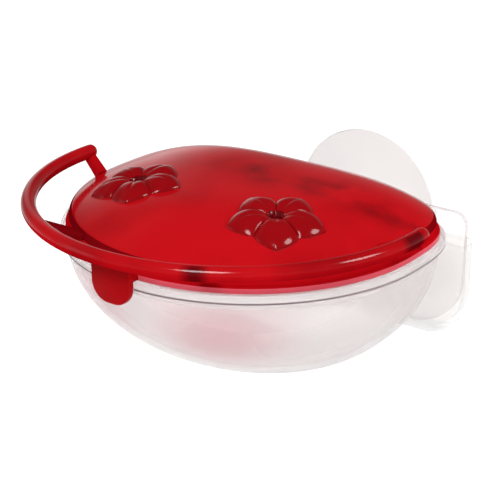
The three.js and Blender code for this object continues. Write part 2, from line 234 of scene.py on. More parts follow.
def red_polycarbonate(name, deep, bright, mirror, clarity):
    # Injection-moulded translucent polycarbonate: a deep red that darkens in soft clouds where the melt
    # flowed and the wall is thicker, a hard polish, and a slow waviness that bends reflections.
    material, tree, shader, place = plastic(name, 1.58, clarity)
    shader.inputs["Specular IOR Level"].default_value = mirror
    clouds = add_node(tree, "ShaderNodeTexNoise", {"Vector": place, "Scale": 1 / (40 * MM), "Detail": 3})
    tint = add_node(tree, "ShaderNodeValToRGB", {"Fac": clouds.outputs["Fac"]})
    tint.color_ramp.elements[0].position = 0.3
    tint.color_ramp.elements[0].color = linear(deep)
    tint.color_ramp.elements[1].position = 0.6
    tint.color_ramp.elements[1].color = linear(bright)
    tree.links.new(tint.outputs["Color"], shader.inputs["Base Color"])
    haze = add_node(tree, "ShaderNodeTexNoise", {"Vector": place, "Scale": 1 / (7 * MM), "Detail": 4})
    polish = add_node(tree, "ShaderNodeMapRange",
                      {"Value": haze.outputs["Fac"], "To Min": 0.08, "To Max": 0.16})
    tree.links.new(polish.outputs["Result"], shader.inputs["Roughness"])
    wave = add_node(tree, "ShaderNodeTexNoise", {"Vector": place, "Scale": 1 / (14 * MM), "Detail": 1})
    bump = add_node(tree, "ShaderNodeBump",
                    {"Height": wave.outputs["Fac"], "Strength": 0.1, "Distance": 0.4 * MM})
    tree.links.new(bump.outputs["Normal"], shader.inputs["Normal"])
    return material


def mottled_polycarbonate(name, deep, bright, dark, mirror, clarity):
    # The cover's red polycarbonate: in a band across its middle, from a line on its left, it is darker in
    # random patches.
    material = red_polycarbonate(name, deep, bright, mirror, clarity)
    tree = material.node_tree
    colour = tree.nodes["Principled BSDF"].inputs["Base Color"]
    clean = colour.links[0].from_socket
    place = add_node(tree, "ShaderNodeTexCoord", {}).outputs["Object"]
    axes = add_node(tree, "ShaderNodeSeparateXYZ", {"Vector": place}).outputs
    aside = add_node(tree, "ShaderNodeMath", {0: axes["Y"], 1: MOTTLE_Y}, operation="SUBTRACT")
    away = add_node(tree, "ShaderNodeMath", {0: aside.outputs[0]}, operation="ABSOLUTE")
    band = add_node(tree, "ShaderNodeMapRange", {"Value": away.outputs[0], "From Max": MOTTLE_HALF_WIDTH,
                                                 "To Min": 1, "To Max": 0}, interpolation_type="SMOOTHSTEP")
    spots = add_node(tree, "ShaderNodeTexNoise", {"Vector": place, "Scale": 1 / (17 * MM), "Detail": 3})
    patches = add_node(tree, "ShaderNodeMapRange", {"Value": spots.outputs["Fac"], "From Min": 0.45,
                                                    "From Max": 0.7})
    reach = add_node(tree, "ShaderNodeMapRange", {"Value": axes["X"], "From Min": MOTTLE_START,
                                                  "From Max": 0}, interpolation_type="SMOOTHSTEP")
    inside = add_node(tree, "ShaderNodeMath", {0: band.outputs["Result"], 1: reach.outputs["Result"]},
                      operation="MULTIPLY")
    share = add_node(tree, "ShaderNodeMath", {0: inside.outputs[0], 1: patches.outputs["Result"]},
                     operation="MULTIPLY")
    mottled = add_node(tree, "ShaderNodeMixRGB",
                       {"Fac": share.outputs[0], "Color1": clean, "Color2": linear(dark)})
    tree.links.new(mottled.outputs["Color"], colour)
    return material


def perch_polycarbonate(name, deep, bright, dark, mirror):
    # The perch's solid red polycarbonate: polished on top, dull below the line where its mould parted, and
    # with painted shade on its outside opposite the right arm and each leg, where these would show dark
    # through the rod.
    material = red_polycarbonate(name, deep, bright, mirror, 0)
    tree = material.node_tree
    colour = tree.nodes["Principled BSDF"].inputs["Base Color"]
    # Painted shade: this attribute darkens the rod where the right arm and the legs would show dark through
    # it
    depth = add_node(tree, "ShaderNodeAttribute", {}, attribute_name="painted_root_shade").outputs["Fac"]
    rooted = add_node(tree, "ShaderNodeMixRGB",
                      {"Fac": depth, "Color1": colour.links[0].from_socket, "Color2": linear(dark)})
    tree.links.new(rooted.outputs["Color"], colour)
    place = add_node(tree, "ShaderNodeTexCoord", {}).outputs["Object"]
    height = add_node(tree, "ShaderNodeSeparateXYZ", {"Vector": place}).outputs["Z"]
    polish = add_node(tree, "ShaderNodeMapRange", {"Value": height, "From Min": POLISH_START,
                                                   "From Max": POLISH_FULL, "To Max": mirror})
    tree.links.new(polish.outputs["Result"], tree.nodes["Principled BSDF"].inputs["Specular IOR Level"])
    return material


def clear_polycarbonate(name, body, transmission, tint, smooth, rough):
    # Clear injection-moulded polycarbonate: a faint haze in the wall, a polish that varies along
    # the flow of the melt, and slightly wavy walls that pull what is seen through them into soft streaks.
    material, tree, shader, place = plastic(name, 1.3, transmission)
    shader.inputs["Alpha"].default_value = body
    shader.inputs["Base Color"].default_value = linear(tint)
    haze = add_node(tree, "ShaderNodeTexNoise", {"Vector": place, "Scale": 1 / (18 * MM), "Detail": 3})
    polish = add_node(tree, "ShaderNodeMapRange",
                      {"Value": haze.outputs["Fac"], "To Min": smooth, "To Max": rough})
    tree.links.new(polish.outputs["Result"], shader.inputs["Roughness"])
    wave = add_node(tree, "ShaderNodeTexNoise", {"Vector": place, "Scale": 1 / (15 * MM), "Detail": 1})
    bump = add_node(tree, "ShaderNodeBump",
                    {"Height": wave.outputs["Fac"], "Strength": 0.2, "Distance": 0.5 * MM})
    tree.links.new(bump.outputs["Normal"], shader.inputs["Normal"])
    return material


def red_glow_polycarbonate(name, body, transmission, tint, red_glow, smooth, rough):
    # The bowl's clear polycarbonate: it is hazy, and under each red port its wall takes a long soft painted
    # pink glow, standing in for the red cover's light seen through it.
    material = clear_polycarbonate(name, body, transmission, tint, smooth, rough)
    tree = material.node_tree
    place = add_node(tree, "ShaderNodeTexCoord", {}).outputs["Object"]
    mirrored = add_node(tree, "ShaderNodeVectorMath", {0: place}, operation="ABSOLUTE")
    axes = add_node(tree, "ShaderNodeSeparateXYZ", {"Vector": place}).outputs
    sides = add_node(tree, "ShaderNodeSeparateXYZ", {"Vector": mirrored.outputs["Vector"]}).outputs
    folded = add_node(tree, "ShaderNodeCombineXYZ", {"X": sides["X"], "Y": axes["Y"], "Z": axes["Z"]})
    from_glow = add_node(tree, "ShaderNodeVectorMath", {0: folded.outputs["Vector"], 1: RED_GLOW_MIDDLE},
                          operation="SUBTRACT")
    stretched = add_node(tree, "ShaderNodeVectorMath", {0: from_glow.outputs["Vector"], 1: RED_GLOW_PER_SIZE},
                         operation="MULTIPLY")
    away = add_node(tree, "ShaderNodeVectorMath", {0: stretched.outputs["Vector"]}, operation="LENGTH")
    near = add_node(tree, "ShaderNodeMapRange", {"Value": away.outputs["Value"], "To Min": 1, "To Max": 0},
                    interpolation_type="SMOOTHSTEP")
    colour = add_node(tree, "ShaderNodeValToRGB", {"Fac": near.outputs["Result"]})
    colour.color_ramp.elements[0].color = linear(tint)
    colour.color_ramp.elements[1].color = linear(red_glow)
    tree.links.new(colour.outputs["Color"], tree.nodes["Principled BSDF"].inputs["Base Color"])
    return material


def soft_clear_pvc():
    # Plasticised PVC, moulded soft: clear with a milky haze, a greasy sheen and faint ripples.
    material, tree, shader, place = plastic("soft_clear_pvc", 1.3, 0.55)
    shader.inputs["Base Color"].default_value = linear("#f6f4f3")
    haze = add_node(tree, "ShaderNodeTexNoise", {"Vector": place, "Scale": 1 / (9 * MM), "Detail": 4})
    polish = add_node(tree, "ShaderNodeMapRange",
                      {"Value": haze.outputs["Fac"], "To Min": 0.25, "To Max": 0.45})
    tree.links.new(polish.outputs["Result"], shader.inputs["Roughness"])
    bump = add_node(tree, "ShaderNodeBump",
                    {"Height": haze.outputs["Fac"], "Strength": 0.12, "Distance": 0.3 * MM})
    tree.links.new(bump.outputs["Normal"], shader.inputs["Normal"])
    return material


def smooth(mesh):
    """Smooth shading that leaves the sharper edges showing."""
    mesh.shade_smooth()
    mesh.set_sharp_from_angle(angle=SHOWN_ANGLE)


def new_piece(name, bm, material):
    """A smooth-shaded object from a bmesh, with its place in its mesh."""
    mesh = bpy.data.meshes.new(name)
    bm.to_mesh(mesh)
    bm.free()
    mesh.materials.append(material)
    smooth(mesh)
    made = bpy.data.objects.new(name, mesh)
    bpy.context.scene.collection.objects.link(made)
    return made


def fit(piece, body, node):
    """The piece moves with a body and stands for a solid, which it hides."""
    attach(piece, body)
    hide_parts(node)


def line_of(bm, points, closed=False):
    """Joins points into a line of edges."""
    verts = [bm.verts.new(p) for p in points]
    ends = list(zip(verts, verts[1:])) + ([(verts[-1], verts[0])] if closed else [])
    return verts + [bm.edges.new(pair) for pair in ends]


def turned(profile, centre, axis, steps=160, closed=False):
    """Spins a line of points once round an axis."""
    bm = bmesh.new()
    geom = line_of(bm, profile, closed)
    bmesh.ops.spin(bm, geom=geom, cent=centre, axis=axis, angle=2 * pi, steps=steps, use_merge=True)
    bmesh.ops.remove_doubles(bm, verts=bm.verts, dist=0.002 * MM)
    bmesh.ops.recalc_face_normals(bm, faces=bm.faces)
    return bm


def round_edges(bm, radius, sharper_than=35, segments=3):
    """Rounds every edge whose faces meet at more than an angle."""
    sharp = [e for e in bm.edges if len(e.link_faces) == 2 and e.calc_face_angle() > radians(sharper_than)]
    bmesh.ops.bevel(bm, geom=sharp, offset=radius, affect="EDGES", segments=segments, profile=0.5,
                    material=-1, clamp_overlap=True)


def pressed(x, y):
    """Carries a point of a round plan to the D plan, both counted from the dish's middle."""
    r = hypot(x, y)
    if y <= 0 or r == 0:
        return x, y
    power = 2 / BACK_SQUARENESS
    across = r * (abs(x) / r) ** power
    return (across if x > 0 else -across), r * BOWL_BACK / BOWL_RADIUS * (y / r) ** power


def press_dish(bm):
    """Presses a body turned about the dish's middle into the D plan."""
    for v in bm.verts:
        x, y = pressed(v.co.x, v.co.y - DISH_Y)
        v.co.x = x
        v.co.y = DISH_Y + y


def bowl_side(radius, depth, steps=36):
    """The bowl's curve from its lowest point to its rim, as radius and height."""
    for i in range(steps + 1):
        s = sin(pi / 2 * i / steps)
        yield radius * s, RIM_HEIGHT - depth * (1 - s ** BOWL_FULLNESS) ** (1 / BOWL_FULLNESS)


def dome_height(radius):
    """Height of the cover's outer face over a ring of the plan."""
    return DOME_BASE + DOME_RISE * (1 - (radius / COVER_RADIUS) ** DOME_FULLNESS)


def dome_side(inset, reach, steps=40):
    """The dome's curve from its top out to a radius, or its inner face at an inset."""
    outer = COVER_RADIUS - inset
    for i in range(steps + 1):
        r = reach * sin(pi / 2 * i / steps)
        yield r, dome_height(r * COVER_RADIUS / outer) - inset


def shoulder(steps=6):
    """The rounded corner between the dome and the cover's upright side."""
    inner = COVER_RADIUS - SHOULDER_ROUND
    start, corner = Vector((inner, dome_height(inner))), Vector((COVER_RADIUS, DOME_BASE))
    end = corner - Vector((0, SHOULDER_ROUND))
    for i in range(1, steps + 1):
        t = i / steps
        yield tuple(start * (1 - t) ** 2 + corner * (2 * t * (1 - t)) + end * t ** 2)


def upright(profile):
    """Radius and height in the plane through the dish's middle."""
    return [(r, DISH_Y, z) for r, z in profile]


def swept_shell(radius, profile):
    """One face of the bowl, with its lower rings carried towards the back."""
    bm = turned(upright(profile), (0, DISH_Y, 0), (0, 0, 1))
    rings = [(v, hypot(v.co.x, v.co.y - DISH_Y)) for v in bm.verts]
    press_dish(bm)
    for v, r in rings:
        v.co.y += BOWL_SWEEP * max(0, 1 - r / radius)
    return bm


def nectar_bowl(material, rim_material, edge_material):
    rim = [
        (BOWL_RADIUS, BEAD_HEIGHT),
        (BOWL_RADIUS + BEAD, BEAD_HEIGHT + 0.3 * MM),
        (BOWL_RADIUS + BEAD, BEAD_HEIGHT + 0.6 * MM),
        (BOWL_RADIUS, BEAD_HEIGHT + 0.9 * MM),
        (BOWL_RADIUS, RIM_HEIGHT),
        (LIP_RADIUS, RIM_HEIGHT),
        (LIP_RADIUS, RIM_HEIGHT + LIP_LINE),
        (LIP_RADIUS, LIP_TOP),
    ]
    side = [p for p in bowl_side(BOWL_RADIUS, BOWL_DEPTH) if p[1] < BEAD_HEIGHT]
    outer = swept_shell(BOWL_RADIUS, side + rim)
    inside = bowl_side(MOUTH_RADIUS, BOWL_DEPTH - BOWL_WALL)
    inner = swept_shell(MOUTH_RADIUS, [*inside, (MOUTH_RADIUS, LIP_TOP)])
    bmesh.ops.reverse_faces(inner, faces=inner.faces)
    scratch = bpy.data.meshes.new("inner_face")
    inner.to_mesh(scratch)
    inner.free()
    outer.from_mesh(scratch)
    bpy.data.meshes.remove(scratch)
    open_edges = [e for e in outer.edges if e.is_boundary]
    bmesh.ops.bridge_loops(outer, edges=open_edges)
    bmesh.ops.recalc_face_normals(outer, faces=outer.faces)
    round_edges(outer, MOULD_EDGE)
    for face in outer.faces:
        height = face.calc_center_median().z
        # The lip's lowest outer band takes a dark grey: a painted shade line where the lip's corner bends
        # light away
        if face.normal.z < 0.5 and RIM_HEIGHT < height < RIM_HEIGHT + LIP_LINE:
            face.material_index = 2
        # From the bead up, the wall and lip take a rougher, less clear finish whose whiteness is a painted
        # highlight of the lip and bead
        elif height > BEAD_HEIGHT:
            face.material_index = 1
    bowl = new_piece("clear_bowl", outer, material)
    bowl.data.materials.append(rim_material)
    bowl.data.materials.append(edge_material)
    return bowl


def red_cover(material, side_material, edge_material, shoulder_material):
    profile = [
        *dome_side(COVER_WALL, SKIRT_INNER),
        (SKIRT_INNER, SKIRT_BOTTOM),
        (SKIRT_OUTER, SKIRT_BOTTOM),
        (SKIRT_OUTER, FLANGE_BOTTOM),
        (FLANGE_RADIUS, FLANGE_BOTTOM),
        (FLANGE_RADIUS, FLANGE_TOP),
        (COVER_RADIUS, FLANGE_TOP),
        *reversed([*dome_side(0, COVER_RADIUS - SHOULDER_ROUND), *shoulder()]),
    ]
    bm = turned(upright(profile), (0, DISH_Y, 0), (0, 0, 1))
    press_dish(bm)
    round_edges(bm, MOULD_EDGE)
    for face in bm.faces:
        middle = face.calc_center_median()
        if middle.z < DOME_BASE - SHOULDER_ROUND:
            face.material_index = 1
        # The shoulder's rounded band takes the darker red: painted shade
        elif 0 < face.normal.z < 0.8:
            face.material_index = 3
        # The flange's edge takes the pale pink: partly thin plastic, partly painted light shining through it
        if FLANGE_BOTTOM < middle.z < FLANGE_TOP and abs(face.normal.z) < 0.9:
            face.material_index = 2
    made = new_piece("red_cover", bm, material)
    for other in (side_material, edge_material, shoulder_material):
        made.data.materials.append(other)
    return made


def block(low, high):
    """A box between two corners."""
    bm = bmesh.new()
    bmesh.ops.create_cube(bm, size=1)
    low, high = Vector(low), Vector(high)
    bmesh.ops.scale(bm, vec=high - low, verts=bm.verts)
    bmesh.ops.translate(bm, vec=(low + high) / 2, verts=bm.verts)
    return bm


def shield_block(half_width, top, floor, corner, back, front):
    """A plate in the pane's plane, flat on top, with two round lower corners."""
    bm = block((-half_width, front, floor), (half_width, back, top))
    lower = [e for e in bm.edges if all(v.co.z < (top + floor) / 2 and abs(v.co.x) > half_width / 2
                                        for v in e.verts) and abs(e.verts[0].co.y - e.verts[1].co.y) > 0]
    bmesh.ops.bevel(bm, geom=lower, offset=corner, affect="EDGES", segments=20, profile=0.5, material=-1)
    return bm


def lift_tab(material):
    """A tongue on a ledge that holds it clear of the bowl's lip."""
    half = TAB_WIDTH / 2
    tongue = shield_block(half, TAB_TOP, TAB_BOTTOM, TAB_CORNER, TAB_BACK, TAB_FRONT)
    tab = new_piece("lift_tab", tongue, material)
    ledge_back = DISH_Y - COVER_RADIUS + COVER_WALL
    stem = TAB_STEM / 2
    cut_away(tab, [block((-stem, TAB_FRONT, FLANGE_BOTTOM), (stem, ledge_back, FLANGE_TOP))], "UNION")
    finish_edges(tab, TAB_EDGE)
    return tab


def pull(bm, ring, move):
    """Draws a ring of edges along a straight run and returns the new ring."""
    drawn = bmesh.ops.extrude_edge_only(bm, edges=ring)["geom"]
    bmesh.ops.translate(bm, vec=move, verts=[g for g in drawn if isinstance(g, bmesh.types.BMVert)])
    return [g for g in drawn if isinstance(g, bmesh.types.BMEdge) and g.is_boundary]


def swing(bm, ring, centre, axis, angle, steps):
    """Draws a ring of edges round a bend and returns the new ring."""
    verts = list({v for e in ring for v in e.verts})
    last = bmesh.ops.spin(bm, geom=verts + list(ring), cent=centre, axis=axis, angle=angle, steps=steps)
    return [g for g in last["geom_last"] if isinstance(g, bmesh.types.BMEdge)]


def ring_middle(ring):
    points = [v.co for e in ring for v in e.verts]
    return sum(points, Vector()) / len(points)


def perch_point(angle):
    return PERCH_CENTRE + PERCH_RADIUS * Vector((sin(angle), -cos(angle), 0))


def foot_point(start, forward, radius, height):
    """A point on the cover towards a point of the perch."""
    flat = Vector((start.x, start.y - forward - DISH_Y))
    flat = flat.normalized() * radius
    return Vector((flat.x, DISH_Y + flat.y, height))


def round_cap(bm, ring, along, steps=6):
    """Closes a ring with half a ball."""
    for i in range(1, steps):
        before, after = pi / 2 * (i - 1) / steps, pi / 2 * i / steps
        ring = pull(bm, ring, along * ROD_RADIUS * (sin(after) - sin(before)))
        middle = Matrix.Translation(-ring_middle(ring))
        girth = cos(after) / cos(before)
        bmesh.ops.scale(bm, vec=(girth,) * 3, space=middle, verts=list({v for e in ring for v in e.verts}))
    bmesh.ops.holes_fill(bm, edges=ring)


def perch_leg(side):
    """A leg from under the rod's end to the cover's shoulder."""
    top = perch_point(side * PERCH_END) - Vector((0, 0, LEG_DROP))
    foot = foot_point(top, LEG_FOOT_ADVANCE, LEG_FOOT, dome_height(LEG_FOOT))
    along = (foot - top).normalized()
    foot += along * LEG_SINK
    turn = Vector((0, 0, 1)).rotation_difference(along).to_matrix().to_4x4()
    bm = bmesh.new()
    bmesh.ops.create_cone(bm, cap_ends=True, segments=32, radius1=LEG_RADIUS, radius2=LEG_FOOT_RADIUS,
                          depth=(foot - top).length, matrix=Matrix.Translation((top + foot) / 2) @ turn)
    return bm


def painted_root_shade(point):
    """How much painted shade a point of the rod takes, from 0 to 1 on its outside at a root, where the arm or
    leg would show dark through it.
    """
    away = point - PERCH_CENTRE
    turn = atan2(away.x, -away.y)
    aside = min(abs(turn - RIGHT_ARM) / ARM_ROOT_REACH, abs(abs(turn) - LEG_ROOT) / LEG_ROOT_REACH)
    outside = (hypot(away.x, away.y) - PERCH_RADIUS) / ROD_RADIUS
    return max(0, min(1, 2.5 * (1 - aside))) * max(0, min(1, 3 * outside))


def perch_ring(material):
    bm = bmesh.new()
    bmesh.ops.create_circle(bm, segments=32, radius=ROD_RADIUS,
                            matrix=Matrix.Translation(perch_point(0)) @ Matrix.Rotation(pi / 2, 4, "Y"))
    ring = swing(bm, list(bm.edges), PERCH_CENTRE, (0, 0, 1), PERCH_END, 60)
    round_cap(bm, ring, Vector((cos(PERCH_END), sin(PERCH_END), 0)))
    bmesh.ops.mirror(bm, geom=bm.verts[:] + bm.edges[:] + bm.faces[:], axis="X", merge_dist=0.01 * MM)
    bmesh.ops.recalc_face_normals(bm, faces=bm.faces)
    rod = new_piece("perch_rod", bm, material)
    cut_away(rod, [perch_leg(-1), perch_leg(1)], "UNION")
    # Each point of the rod keeps how much painted shade it takes, for the dark arm and legs seen through it
    root_shades = rod.data.attributes.new("painted_root_shade", "FLOAT", "POINT")
    for v in rod.data.vertices:
        root_shades.data[v.index].value = painted_root_shade(v.co)
    smooth(rod.data)
    return rod


def perch_arm(name, angle, material):
    """A short flat web from the rod down to the cover's side."""
    root = perch_point(angle)
    foot = foot_point(root, 0, COVER_RADIUS, ARM_FOOT_HEIGHT)
    reach = (foot - root).length + ARM_SINK
    bm = block((-ARM_WIDTH / 2, 0, -ARM_THICKNESS / 2), (ARM_WIDTH / 2, reach, ARM_THICKNESS / 2))
    round_edges(bm, PLATE_EDGE)
    along = (foot - root).normalized()
    across = along.cross(Vector((0, 0, 1))).normalized()
    turn = Matrix((across, along, across.cross(along))).transposed().to_4x4()
    bmesh.ops.transform(bm, matrix=Matrix.Translation(root) @ turn, verts=bm.verts)
    return new_piece(name, bm, material)


def petal_edge(u):
    """Plan radius of the flower's edge, from a petal's tip at u 0 to the notch beside it at u 1."""
    return PETAL_NOTCH + (PETAL_TIP - PETAL_NOTCH) * (1 - abs(u) ** 0.85) ** 0.8


def petal_height(share, u):
    """Height over the dome: a petal swells, then falls to its tip, between valleys that deepen outwards."""
    crest, throat_fall, tip_fall = 0.45, 0.45, 0.65
    if share < crest:
        swell = 1 - throat_fall * ((crest - share) / crest) ** 2
    else:
        swell = 1 - tip_fall * ((share - crest) / (1 - crest)) ** 2
    valley = (0.3 + 0.5 * share) * (1 - (1 - abs(u) ** 2.6) ** 0.5)
    rim = (1 - share ** 14) ** 0.5
    crease = 0.25 * MM * exp(-(u / 0.12) ** 2) * sin(pi * share)
    return PETAL_RISE * swell * (1 - valley) * rim - crease


def flower_port(name, side, spin, material, throat_material):
    steps = 30
    profile = [(HOLE_RADIUS, SPIGOT_BOTTOM), (HOLE_RADIUS, PORT_SINK)]
    profile += [(THROAT_RADIUS + (PETAL_TIP - THROAT_RADIUS) * sin(pi / 2 * i / steps), 3 * MM)
                for i in range(steps + 1)]
    profile += [(PETAL_TIP, -PORT_SINK), (SPIGOT_RADIUS, -PORT_SINK), (SPIGOT_RADIUS, SPIGOT_BOTTOM)]
    centre = Vector((side * PORT_SIDE, PORT_Y, 0))
    bm = turned([(centre.x + r, centre.y, z) for r, z in profile], centre, (0, 0, 1), 240, closed=True)
    for v in bm.verts:
        x, y = v.co.x - centre.x, v.co.y - centre.y
        r = hypot(x, y)
        turn = (atan2(y, x) - pi / 2 - spin) * PETALS / (2 * pi)
        u = max(-1, min(1, 2 * (turn - round(turn))))
        if r > SPIGOT_RADIUS + 0.01 * MM or v.co.z > MM:
            share = max(0, min(1, (r - THROAT_RADIUS) / (PETAL_TIP - THROAT_RADIUS)))
            reach = THROAT_RADIUS + share * (petal_edge(u) - THROAT_RADIUS)
            v.co.x, v.co.y = centre.x + x * reach / r, centre.y + y * reach / r
            if v.co.z > 0:
                v.co.z = petal_height(share, u)
        v.co.z += dome_height(hypot(v.co.x, v.co.y - DISH_Y))
    bmesh.ops.recalc_face_normals(bm, faces=bm.faces)
    # Faces round the throat take a near black red: painted shade, dark as the hole inside
    for face in bm.faces:
        middle = face.calc_center_median()
        if hypot(middle.x - centre.x, middle.y - centre.y) < THROAT_RADIUS:
            face.material_index = 1
    flower = new_piece(name, bm, material)
    flower.data.materials.append(throat_material)
    return flower


def cut_away(piece, cutters, operation="DIFFERENCE"):
    """Cuts or joins helper shapes into a piece and removes them."""
    for bm in cutters:
        helper = new_piece("helper", bm, piece.data.materials[0])
        step = piece.modifiers.new("cut", "BOOLEAN")
        step.operation = operation
        step.solver = "EXACT"
        step.object = helper
        graph = bpy.context.evaluated_depsgraph_get()
        cut = bpy.data.meshes.new_from_object(piece.evaluated_get(graph))
        piece.modifiers.remove(step)
        old, piece.data = piece.data, cut
        cut.name = old.name
        bpy.data.meshes.remove(old)
        bpy.data.meshes.remove(helper.data)


def round_bar(radius, low, high, axis, segments=48):
    """A round bar between two points that differ along one axis."""
    low, high = Vector(low), Vector(high)
    bm = bmesh.new()
    turn = Vector((0, 0, 1)).rotation_difference(Vector(axis)).to_matrix().to_4x4()
    bmesh.ops.create_cone(bm, cap_ends=True, segments=segments, radius1=radius, radius2=radius,
                          depth=(high - low).length, matrix=Matrix.Translation((low + high) / 2) @ turn)
    return bm


def finish_edges(piece, radius):
    """Rounds the sharp edges of a cut piece."""
    bm = bmesh.new()
    bm.from_mesh(piece.data)
    bmesh.ops.dissolve_limit(bm, angle_limit=radians(0.5), verts=bm.verts, edges=bm.edges)
    round_edges(bm, radius, segments=2)
    bm.to_mesh(piece.data)
    bm.free()
    smooth(piece.data)


def round_shoulders(bm, above, radius):
    """Rounds the upper corners of a plate in the pane's plane."""
    corners = [e for e in bm.edges if all(v.co.z > above for v in e.verts)
               and e.verts[0].co.y != e.verts[1].co.y]
    bmesh.ops.bevel(bm, geom=corners, offset=radius, affect="EDGES", segments=12, profile=0.5, material=-1)


def window_bracket(material):
    half = BRACKET_HALF_WIDTH
    bracket = new_piece("clear_bracket", shield_block(
        half, BRACKET_SHOULDER, BRACKET_FLOOR, BRACKET_CORNER, PLATE_BACK, BRACKET_FRONT), material)
    inner_corner = BRACKET_CORNER - BRACKET_WALL
    pocket = shield_block(half - BRACKET_WALL, EAR_TOP, BRACKET_FLOOR + BRACKET_WALL, inner_corner,
                          PLATE_FRONT, POCKET_FRONT)
    sight = shield_block(half - FRONT_FRAME, EAR_TOP, BRACKET_FLOOR + FRONT_FRAME, inner_corner,
                         HANGER_FRONT, BRACKET_FRONT - MM)
    cut_away(bracket, [pocket, sight])
    ear = block((-EAR_HALF_WIDTH, PLATE_FRONT, EAR_BOTTOM), (EAR_HALF_WIDTH, PLATE_BACK, EAR_TOP))
    round_shoulders(ear, 0, EAR_CORNER)
    cut_away(bracket, [ear], "UNION")
    neck, head = NECK_RADIUS + SLIDE_GAP, HEAD_RADIUS + SLIDE_GAP
    cut_away(bracket, [
        round_bar(neck, (0, KEYHOLE_FRONT, 0), (0, KEYHOLE_BACK, 0), (0, 1, 0)),
        block((-neck, KEYHOLE_FRONT, -KEYHOLE_DROP), (neck, KEYHOLE_BACK, 0)),
        round_bar(head, (0, KEYHOLE_FRONT, -KEYHOLE_DROP), (0, KEYHOLE_BACK, -KEYHOLE_DROP), (0, 1, 0)),
    ])
    finish_edges(bracket, PLATE_EDGE)
    return bracket


def bowl_hanger(material, edge_material):
    plate = shield_block(BRACKET_HALF_WIDTH - HANGER_INSET, HANGER_TOP, BRACKET_FLOOR + HANGER_INSET,
                         HANGER_CORNER, HANGER_BACK, HANGER_FRONT)
    round_shoulders(plate, HANGER_TOP - MM, HANGER_SHOULDER)
    hanger = new_piece("clear_hanger", plate, material)
    web = bmesh.new()
    bmesh.ops.create_grid(web, x_segments=24, y_segments=1, size=1)
    for v in web.verts:
        front = v.co.y < 0
        v.co.x *= WEB_HALF_WIDTH
        back_wall = BOWL_BACK * (1 - (abs(v.co.x) / BOWL_RADIUS) ** BACK_SQUARENESS) ** (1 / BACK_SQUARENESS)
        v.co.y = DISH_Y + back_wall - WEB_SINK if front else HANGER_FRONT + MM
        v.co.z = HANGER_TOP
    drawn = bmesh.ops.extrude_face_region(web, geom=web.faces[:])["geom"]
    bmesh.ops.translate(web, vec=(0, 0, -WEB_THICKNESS),
                        verts=[g for g in drawn if isinstance(g, bmesh.types.BMVert)])
    bmesh.ops.recalc_face_normals(web, faces=web.faces)
    cut_away(hanger, [web], "UNION")
    finish_edges(hanger, PLATE_EDGE)
    hanger.data.materials.append(edge_material)
    # Faces not facing along Y take a grey tint: painted shade along the clear plate's edges
    for face in hanger.data.polygons:
        if face.center.y > HANGER_FRONT and abs(face.normal.y) < 0.9:
            face.material_index = 1
    return hanger


def suction_cup(material):
    """The cup from the middle of its hollow round its edge to the front of its button head."""
    profile = [(CUP_SEAL * i / 14, -CUP_HOLLOW * (1 - (i / 14) ** 2)) for i in range(15)]
    profile += [(CUP_RADIUS - 0.55 * MM, 0), (CUP_RADIUS, -0.6 * MM), (CUP_RADIUS - 0.15 * MM, -1.3 * MM)]
    for i in range(1, 17):
        t = i / 16
        profile.append((CUP_RADIUS + (CUP_SHOULDER - CUP_RADIUS) * t,
                        -CUP_EDGE - (CUP_HEIGHT - CUP_EDGE) * t ** CUP_BEND))
    profile += [
        (NECK_RADIUS + 1.2 * MM, -CUP_HEIGHT - 0.2 * MM),
        (NECK_RADIUS, -CUP_HEIGHT - MM),
        (NECK_RADIUS, PLATE_FRONT),
        (NECK_RADIUS + 0.2 * MM, HEAD_BACK),
        (HEAD_RADIUS - 0.4 * MM, HEAD_BACK),
        (HEAD_RADIUS, HEAD_BACK - 0.4 * MM),
        (HEAD_RADIUS, HEAD_FRONT + 0.8 * MM),
        (HEAD_RADIUS - 0.8 * MM, HEAD_FRONT + 0.1 * MM),
        (NECK_RADIUS, HEAD_FRONT),
        (0, HEAD_FRONT),
    ]
    bm = turned([(r, y, 0) for r, y in profile], (0, 0, 0), (0, 1, 0), 120)
    return new_piece("soft_suction_cup", bm, material)


